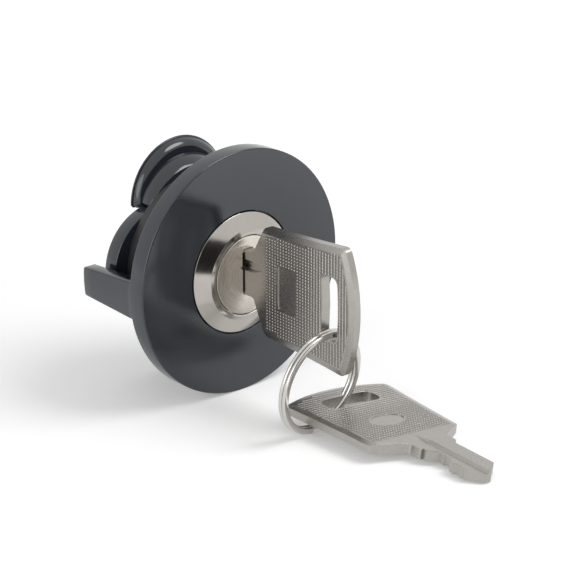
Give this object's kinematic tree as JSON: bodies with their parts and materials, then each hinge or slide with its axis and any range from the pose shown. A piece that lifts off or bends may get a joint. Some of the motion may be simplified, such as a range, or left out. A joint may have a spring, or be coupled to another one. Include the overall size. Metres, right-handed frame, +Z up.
{
  "type": "outlet plug lock",
  "caption": "Round cover with a keyed cylinder that closes a power outlet; turning the key pushes claws out behind it. Key in the lock, spare key on a split ring.",
  "frame": {"origin": "on the lock's axis, in the plane of the cover's back face, which seats on the rim of the outlet", "axes": "+Y along the lock's axis into the outlet, +Z up, +X to the right seen from the front"},
  "size_m": [0.05, 0.0852, 0.05],
  "materials": {
    "cover_finish": "dark anthracite, fine satin moulded face",
    "neck_finish": "black moulded",
    "claw_finish": "dark grey, polished",
    "nickel": "warm nickel plate, turned",
    "key_nickel": "nickel-plated key, dotted grip",
    "ring_steel": "polished nickel wire",
    "wafer_brass": "stamped brass",
    "zinc_steel": "zinc-plated steel",
    "spring_steel": "drawn spring wire"
  },
  "bodies": {
    "housing": {"cover_disc": "cover_finish", "neck_sleeve": "neck_finish", "guide_plate": "cover_finish", "guide_plate_screws": "zinc_steel", "lock_barrel": "nickel", "barrel_washer": "zinc_steel", "barrel_nut": "zinc_steel"},
    "core": {"core_plug": "nickel", "wafer_1": "wafer_brass", "wafer_2": "wafer_brass", "wafer_3": "wafer_brass", "wafer_4": "wafer_brass", "wafer_5": "wafer_brass", "wafer_springs": "spring_steel", "core_clip": "spring_steel", "scroll_disc": "zinc_steel", "scroll_washer": "zinc_steel", "scroll_screw": "zinc_steel"},
    "upper_claw": {"upper_claw": "claw_finish"},
    "lower_claw": {"lower_claw": "claw_finish"},
    "key": {"key": "key_nickel"},
    "ring": {"split_ring": "ring_steel"},
    "spare_key": {"spare_key": "key_nickel"}
  },
  "joints": [
    {"name": "core_turn", "type": "hinge", "parent": "housing", "child": "core", "pos_m": [0, 0, 0], "axis": [0, 1, 0], "range_deg": [0, 90]},
    {"name": "upper_claw_slide", "type": "slide", "parent": "housing", "child": "upper_claw", "axis": [0, 0, 1], "range_m": [0, 0.0028]},
    {"name": "lower_claw_slide", "type": "slide", "parent": "housing", "child": "lower_claw", "axis": [0, 0, -1], "range_m": [0, 0.0028]},
    {"name": "key_slide", "type": "slide", "parent": "core", "child": "key", "axis": [0, -1, 0], "range_m": [0, 0.018]},
    {"name": "ring_swing", "type": "hinge", "parent": "key", "child": "ring", "pos_m": [0, -0.03119, -0.00478], "axis": [1, 0, 0], "range_deg": [-60, 0]},
    {"name": "spare_key_ride", "type": "hinge", "parent": "ring", "child": "spare_key", "pos_m": [-0.00295, -0.0301, -0.01419], "axis": [0.0923, -0.9852, -0.1444], "range_deg": [0, 45]}
  ],
  "couplings": [
    {"joint": "upper_claw_slide", "follows": "core_turn", "m_per_rad": 0.0017825},
    {"joint": "lower_claw_slide", "follows": "core_turn", "m_per_rad": 0.0017825}
  ]
}
